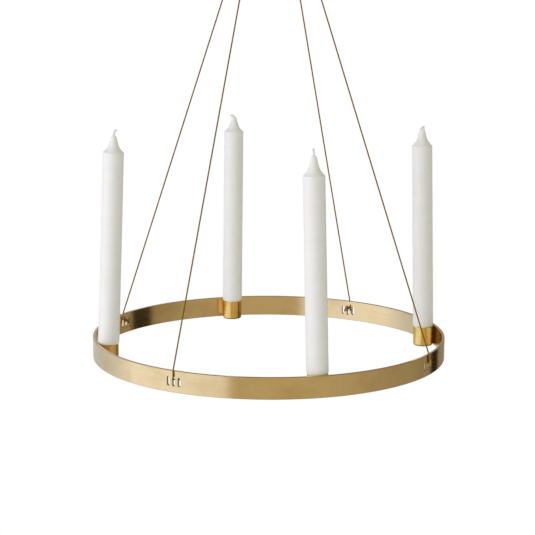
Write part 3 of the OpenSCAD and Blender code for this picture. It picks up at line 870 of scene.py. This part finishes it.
class WREATH_OT_band(bpy.types.Operator):
    """Rolls the brass band, rounds its edges and punches its slots"""

    bl_idname = "wreath.band"
    bl_label = "Band"

    # Corners up and down the band, along it between the slots and at one slot, and in a rounding.
    LEVELS = 16
    PLAIN_COLUMNS = 84
    CELL_COLUMNS = 8
    ROUND_STEPS = 3
    # Places nearer to each other than this are one corner.
    GRID = 1.7e-6

    def execute(self, context):
        s = context.scene.wreath_band
        self.sizes = s
        self.points, self.normals, self.faces, self.known = [], [], [], {}
        rise = BAND_TALL - 2 * s.edge
        low = BAND_LOW.z + s.edge
        self.levels = [low + rise * k / self.LEVELS for k in range(self.LEVELS + 1)]
        steps = self.ROUND_STEPS
        self.rounding = [math.pi / 2 * k / steps for k in range(steps + 1)]
        cell = math.degrees(s.slot_pitch / s.radius)
        for middle in (45, 135, 225, 315):
            edges = [middle + cell * (k - 1.5) for k in range(4)]
            for start, end in zip(edges, edges[1:]):
                self.slot_cell((start + end) / 2)
                self.strips(start, end, self.CELL_COLUMNS, False)
            self.strips(edges[-1], middle + 90 - 1.5 * cell, self.PLAIN_COLUMNS, True)
        brass = brushed_brass(context.scene.wreath_finishes)
        add_piece(
            "band_strip", (self.points, self.faces, None), brass, "wreath", "band_brass",
            "ring_band", normals=self.normals,
        )
        return {"FINISHED"}

    def corner(self, turn, depth, z, way):
        """A corner of the mesh. way is its normal, as outwards, along and up."""
        c, s = math.cos(math.radians(turn)), math.sin(math.radians(turn))
        reach = self.sizes.radius - depth
        place = (reach * c, reach * s, z)
        key = tuple(round(v / self.GRID) for v in place)
        if key not in self.known:
            self.known[key] = len(self.points)
            self.points.append(place)
            self.normals.append((way[0] * c - way[1] * s, way[0] * s + way[1] * c, way[2]))
        return self.known[key]

    def rim(self, z, up):
        """The strip's rounded edge at a height, from its outer face over to its inner face."""
        s, places = self.sizes, []
        for side, rounding in ((1, self.rounding), (-1, reversed(self.rounding))):
            for a in rounding:
                depth, drop = s.edge * (1 - math.cos(a)), s.edge * (1 - math.sin(a))
                depth = depth if side > 0 else s.wall - depth
                places.append((depth, z - up * drop, (side * math.cos(a), 0, up * math.sin(a))))
        return places

    def strips(self, start, end, columns, whole):
        """The rims from start to end, and the two faces between them where whole."""
        turns = [start + (end - start) * k / columns for k in range(columns + 1)]
        lines = [self.rim(BAND_HIGH.z, 1), self.rim(BAND_LOW.z, -1)]
        if whole:
            lines.append([(0.0, z, (1, 0, 0)) for z in self.levels])
            lines.append([(self.sizes.wall, z, (-1, 0, 0)) for z in self.levels])
        for line in lines:
            for a, b in zip(turns, turns[1:]):
                for low, high in zip(line, line[1:]):
                    corners = (a, low), (b, low), (b, high), (a, high)
                    self.faces.append(tuple(self.corner(turn, *place) for turn, place in corners))

    def slot_cell(self, middle):
        """The band round one slot, on both faces, and the slot's own wall."""
        s = self.sizes
        half, n, m = s.slot_pitch / 2, self.LEVELS // 2, self.CELL_COLUMNS // 2
        rise = [z - BAND_MIDDLE for z in self.levels]
        across = [half * k / m for k in range(2 * m)]
        outline = [(half, z) for z in rise[n:-1]]
        outline += [(half - x, rise[-1]) for x in across]
        outline += [(-half, z) for z in rise[:0:-1]]
        outline += [(x - half, rise[0]) for x in across]
        outline += [(half, z) for z in rise[:n]]
        edge = []
        for a in self.rounding:
            edge.append((s.slot_edge * (1 - math.sin(a)), s.slot_edge * (1 - math.cos(a)), a))
        loops = [[(x, z, 0.0, (1, 0, 0)) for x, z in outline]]
        loops += [self.stadium(grow, depth, a, 1) for grow, depth, a in edge]
        loops += [self.stadium(grow, s.wall - depth, a, -1) for grow, depth, a in reversed(edge)]
        loops.append([(x, z, s.wall, (-1, 0, 0)) for x, z in outline])
        rows = [
            [
                self.corner(middle + math.degrees(x / s.radius), depth, BAND_MIDDLE + z, way)
                for x, z, depth, way in loop
            ]
            for loop in loops
        ]
        self.faces += ringed(rows)

    def stadium(self, grow, depth, a, side):
        """One loop of a slot's rim, grown all round, where the rounding has turned by a."""
        s = self.sizes
        r, half = s.slot_width / 2 + grow, (s.slot_height - s.slot_width) / 2
        n, m = self.LEVELS, self.CELL_COLUMNS // 2

        def end(start, height):
            """The half circle from an angle on, about the middle of one end."""
            turns = [start + math.pi * k / n for k in range(n)]
            ways = [(math.cos(t), math.sin(t)) for t in turns]
            return [((r * x, height + r * z), (x, z)) for x, z in ways]

        places = [((r, half * k / m), (1, 0)) for k in range(m)]
        places += end(0, half)
        places += [((-r, half - half * k / m), (-1, 0)) for k in range(2 * m)]
        places += end(math.pi, -half)
        places += [((r, -half + half * k / m), (1, 0)) for k in range(m)]
        lean, flat = math.sin(a), side * math.cos(a)
        return [(x, z, depth, (flat, -lean * nx, -lean * nz)) for (x, z), (nx, nz) in places]


class WREATH_OT_cups(bpy.types.Operator):
    """Turns the four candle cups"""

    bl_idname = "wreath.cups"
    bl_label = "Cups"

    def execute(self, context):
        s = context.scene.wreath_cups
        inner = s.radius - s.wall
        corners = [(0, 0), (s.radius, 0), (s.radius, CUP_TALL), (inner, CUP_TALL)]
        corners += [(inner, s.floor), (0, s.floor)]
        points, faces, normals = lathe(
            rounded(corners, [0, s.round, s.lip, s.lip, 0.9 * MM, 0], 8), 128
        )
        brass = turned_brass(context.scene.wreath_finishes)
        for side in SIDES:
            place = Matrix.Translation(placed((s.reach, 0, BAND_LOW.z), SIDE_TURNS[side]))
            add_piece(
                "cup_turned_" + side, (points, faces, None), brass, "wreath", "cup_brass",
                "cup_" + side, place=place, normals=normals,
            )
        return {"FINISHED"}


class WREATH_OT_solder(bpy.types.Operator):
    """Runs the solder between the cups and the band"""

    bl_idname = "wreath.solder"
    bl_label = "Solder"

    ROWS, ACROSS = 40, 12
    # A seam stops short of the lip. It reaches a little into the brass on both sides.
    SHORT, BITE = 0.5 * MM, 0.01 * MM
    # Its sides wander by up to 0.5 mm, about every 3.3 mm.
    WANDER, WANDERS = 0.5 * MM, 300
    # How deep its sides are hollowed, as a share of the gap.
    HOLLOW = 0.3

    def execute(self, context):
        cups, band = context.scene.wreath_cups, context.scene.wreath_band
        inner = band.radius - band.wall
        low, high = BAND_LOW.z + cups.round, BAND_LOW.z + CUP_TALL - self.SHORT
        points, faces = [], []
        for side in SIDES:
            turn = SIDE_TURNS[side]
            rows = []
            for i in range(self.ROWS + 1):
                share = i / self.ROWS
                z = low + (high - low) * share
                # The seam narrows at its two ends.
                half = cups.seam / 2 * min(1.0, math.sin(math.pi * share) * 2.4 + 0.55)
                left, right = (
                    way * half
                    + self.WANDER * noise.noise((z * self.WANDERS, seed, math.radians(turn)))
                    for way, seed in ((-1, 7), (1, 14))
                )
                across = [left + (right - left) * k / self.ACROSS for k in range(self.ACROSS + 1)]
                near = [(self.gap(cups, inner, y)[0] - self.BITE, y) for y in across]
                far = [(self.gap(cups, inner, y)[1] + self.BITE, y) for y in reversed(across)]
                ring = [*near, self.hollow(cups, inner, right, -1)]
                ring += [*far, self.hollow(cups, inner, left, 1)]
                rows.append(range(len(points), len(points) + len(ring)))
                points += [placed((x, y, z), turn) for x, y in ring]
            faces += capped(rows)
        solder = hard_solder(context.scene.wreath_finishes)
        add_piece(
            "solder_beads", (points, faces, None), solder, "wreath", "solder", "solder_seams",
            sharp=50,
        )
        return {"FINISHED"}

    @staticmethod
    def gap(cups, inner, y):
        """The distances of a cup's side and the band's inner face from the axis, at y."""
        return cups.reach + math.sqrt(cups.radius**2 - y * y), math.sqrt(inner**2 - y * y)

    def hollow(self, cups, inner, y, way):
        """The middle of a seam's hollow side."""
        near, far = self.gap(cups, inner, y)
        return (near + far) / 2, y + way * self.HOLLOW * (far - near)


# Candles and wicks

# The shoulder's height above the band's lower edge, the tip above that, and the lean in degrees.
CANDLES = {
    "front": (0.2195, 0.019, -1.5),
    "right": (0.222, 0.019, -1.5),
    "back": (0.221, 0.0165, 0.5),
    "left": (0.225, 0.017, 2.1),
}
# A tip as shares of the shoulder's radius and of the tip's height.
TIP = (
    (1, 0), (0.93, 0.04), (0.83, 0.1), (0.7, 0.19), (0.6, 0.28), (0.51, 0.39),
    (0.45, 0.5), (0.39, 0.62), (0.34, 0.75), (0.3, 0.87), (0.26, 0.95), (0.2, 1),
)
# The wax that climbs the wick, as shares of the wick's radius and millimetres above the tip. Its
# last two places are flat.
CLIMB = ((1.5, 0.25), (1.1, 0.6), (0.5, 0.65), (0, 0.65))
# The free end of each wick: its length in millimetres, and its places above the tip, as sideways,
# back and up in shares of that length.
WICK_ENDS = {
    "front": (7.5, (0.01, 0, 0.25), (0, 0, 0.5), (-0.02, 0, 0.75), (-0.04, 0, 1)),
    "right": (2.0, (0.06, 0, 0.4), (0.4, 0.02, 0.68), (0.9, 0.04, 0.75), (1.3, 0.06, 0.7)),
    "back": (2.5, (-0.1, 0, 0.42), (-0.5, 0.04, 0.75), (-1.05, 0.08, 0.8), (-1.6, 0.1, 0.5)),
    "left": (7.0, (0.01, 0, 0.3), (0.06, 0.02, 0.58), (0.2, 0.04, 0.82), (0.42, 0.06, 0.98)),
}


def in_cup(context, side):
    """Where a candle or wick stands: in its cup, leaned about the middle of the cup's depth."""
    cups, turn = context.scene.wreath_cups, context.scene.wreath_candles.lean_turn
    pivot = (cups.floor + BAND_TALL) / 2
    axis = Vector((math.sin(turn), math.cos(turn), 0))
    lean = Matrix.Rotation(math.radians(CANDLES[side][2]), 4, axis)
    place = placed((cups.reach, 0, BAND_LOW.z + pivot), SIDE_TURNS[side])
    return Matrix.Translation(place) @ lean @ Matrix.Translation((0, 0, -pivot))


class WREATH_OT_candles(bpy.types.Operator):
    """Dips the four dinner candles"""

    bl_idname = "wreath.candles"
    bl_label = "Candles"

    # Heights above the band's upper edge: of the ledge's worn edge, and of the side's first taper.
    WORN_LOW, WORN_HIGH, TAPERED = 0.15 * MM, 0.9 * MM, 24 * MM
    # The side goes in steps to a place this far under the shoulder, where the tip's curve starts.
    SIDE_STEPS, UNDER = 36, 3 * MM
    # Dipping leaves waves about 25 mm long, and this many millimetres deep.
    WAVES, WAVE_DEEP = (40, 40, 45), 0.06

    def execute(self, context):
        wax = candle_wax(context.scene.wreath_finishes)
        for index, side in enumerate(SIDES):
            pairs = [(p, (0, 1)) for p in self.outline(context, side)]
            points, faces, _ = lathe(pairs, 96)
            points = [self.waved(Vector(p), index) for p in points]
            add_piece(
                "candle_wax_" + side, (points, faces, None), wax, side + "_candle", "candle_wax",
                "candle_" + side, place=in_cup(context, side),
            )
        return {"FINISHED"}

    def outline(self, context, side):
        """A candle's outline from the middle of its foot to the wick, as radius and height."""
        s, cup = context.scene.wreath_candles, context.scene.wreath_cups.radius
        shoulder, tip, lean = CANDLES[side]
        # The foot was turned down to fit, and leaves a ledge that covers the cup's rim. The
        # ledge's edge is worn back, so that it clears the band.
        ledge = CUP_TALL + cup * math.sin(math.radians(abs(lean))) + s.room
        foot = [(0, s.foot_gap), (s.foot, s.foot_gap), (s.mouth, ledge), (cup, ledge)]
        foot += [(cup, BAND_TALL + self.WORN_LOW), (s.full, BAND_TALL + self.WORN_HIGH)]
        foot.append((s.full - 0.1 * MM, BAND_TALL + self.TAPERED))
        rounds = [0, 0.8 * MM, 0.15 * MM, s.edge, 0.5 * MM, 0.8 * MM, 0]
        lower = [p for p, _ in rounded(foot, rounds, 6)]
        start = Vector((s.shoulder, shoulder - self.UNDER))
        line = [lower[-1].lerp(start, k / self.SIDE_STEPS) for k in range(1, self.SIDE_STEPS)]
        curve = [(s.shoulder * r, shoulder + tip * h) for r, h in TIP]
        climb = [Vector((r * s.wick, shoulder + tip + h * MM)) for r, h in CLIMB]
        return [*lower, *line, *smooth_path([start, *curve, *climb[:2]], 4), *climb[2:]]

    def waved(self, p, index):
        """Moves a place on the wax by the slight waves that dipping leaves."""
        x, y, z = self.WAVES
        level = noise.noise((p.x * x, p.y * y, p.z * z + 10 * index))
        reach = Vector((p.x, p.y, 0))
        if reach.length > 2 * MM:
            p += reach.normalized() * self.WAVE_DEEP * MM * level
        return p


class WREATH_OT_wicks(bpy.types.Operator):
    """Plaits the four wicks"""

    bl_idname = "wreath.wicks"
    bl_label = "Wicks"

    # Three strands cross over each other, with one plait each 3.2 mm. In shares of the wick's
    # radius: how far they swing to a side and up, and a strand's own radius.
    PITCH, STRANDS = 3.2 * MM, 3
    SWING, OVER, STRAND = 0.3, 0.56, 0.46
    STRAND_BEVEL = 0.06 * MM
    # The plait starts 4 mm under the tip. Down to 0.2 mm under the candle's foot, the wick is a
    # plain core, which the plait laps by 1 mm.
    PLAIT_IN, CORE_IN, CORE_OUT, CORE = 4 * MM, 3 * MM, 0.2 * MM, 0.9

    def execute(self, context):
        s = context.scene.wreath_candles
        thread = cotton(context.scene.wreath_finishes)
        for side in SIDES:
            shoulder, tip, _ = CANDLES[side]
            top = shoulder + tip
            core = (s.foot_gap - self.CORE_OUT, top - self.CORE_IN)
            length, *shares = WICK_ENDS[side]
            path = [Vector((0, 0, top - self.PLAIT_IN)), Vector((0, 0, top))]
            path += [length * MM * Vector(p) + path[1] for p in shares]
            shape = [[], [], []]
            self.join(shape, tube([Vector((0, 0, z)) for z in core], [self.CORE * s.wick] * 2, 12))
            self.plait(shape, smooth_path(path, 14), s.wick)
            place = in_cup(context, side) @ Matrix.Rotation(-s.lean_turn, 4, "Z")
            add_piece(
                "wick_plait_" + side, shape, thread, side + "_candle", "wick_cotton",
                "wick_" + side, place=place, sharp=60,
            )
        return {"FINISHED"}

    @staticmethod
    def join(whole, part):
        """Adds the points, faces and places of a part to those of the whole."""
        start = len(whole[0])
        whole[0] += part[0]
        whole[1] += [tuple(start + k for k in face) for face in part[1]]
        whole[2] += part[2]

    def plait(self, whole, path, radius):
        """Adds strands that cross over each other along a path."""
        swing, over = self.SWING * radius, self.OVER * radius
        runs = [0.0]
        for a, b in zip(path, path[1:]):
            runs.append(runs[-1] + (b - a).length)
        sides = frames(path)
        for k in range(self.STRANDS):
            line = []
            for place, run, (side, up) in zip(path, runs, sides):
                a = 2 * math.pi * (run / self.PITCH + k / self.STRANDS)
                line.append(place + side * (swing * math.sin(2 * a)) + up * (over * math.sin(a)))
            radii = [self.STRAND * radius] * len(line)
            self.join(whole, tube(*with_cut_ends(line, radii, self.STRAND_BEVEL), 10))


# Panel and registration

STEPS = (
    WREATH_OT_stage, WREATH_OT_knots, WREATH_OT_hitches, WREATH_OT_cords, WREATH_OT_hanging_ring,
    WREATH_OT_band, WREATH_OT_cups, WREATH_OT_solder, WREATH_OT_candles, WREATH_OT_wicks,
)


class WREATH_PT_panel(bpy.types.Panel):
    """Lists the steps that dress the wreath"""

    bl_idname = "WREATH_PT_panel"
    bl_label = "Wreath"
    bl_space_type = "VIEW_3D"
    bl_region_type = "UI"
    bl_category = "Wreath"

    def draw(self, context):
        for step in STEPS:
            self.layout.operator(step.bl_idname)
        for name in SETTINGS:
            group = getattr(context.scene, name)
            for key in group.__annotations__:
                self.layout.prop(group, key)


SETTINGS = {
    "wreath_band": WreathBandSizes,
    "wreath_cups": WreathCupSizes,
    "wreath_candles": WreathCandleSizes,
    "wreath_cords": WreathCordSizes,
    "wreath_finishes": WreathFinishes,
}
CLASSES = (*SETTINGS.values(), *STEPS, WREATH_PT_panel)


def register():
    for cls in CLASSES:
        bpy.utils.register_class(cls)
    for name, cls in SETTINGS.items():
        setattr(bpy.types.Scene, name, bpy.props.PointerProperty(type=cls))


def unregister():
    for name in SETTINGS:
        delattr(bpy.types.Scene, name)
    for cls in reversed(CLASSES):
        bpy.utils.unregister_class(cls)


def main():
    """Builds every piece in order."""
    register()
    for step in STEPS:
        if getattr(bpy.ops.wreath, step.bl_idname.split(".")[1])() != {"FINISHED"}:
            raise RuntimeError(step.bl_label + " didn't finish")


if __name__ == "__main__":
    main()
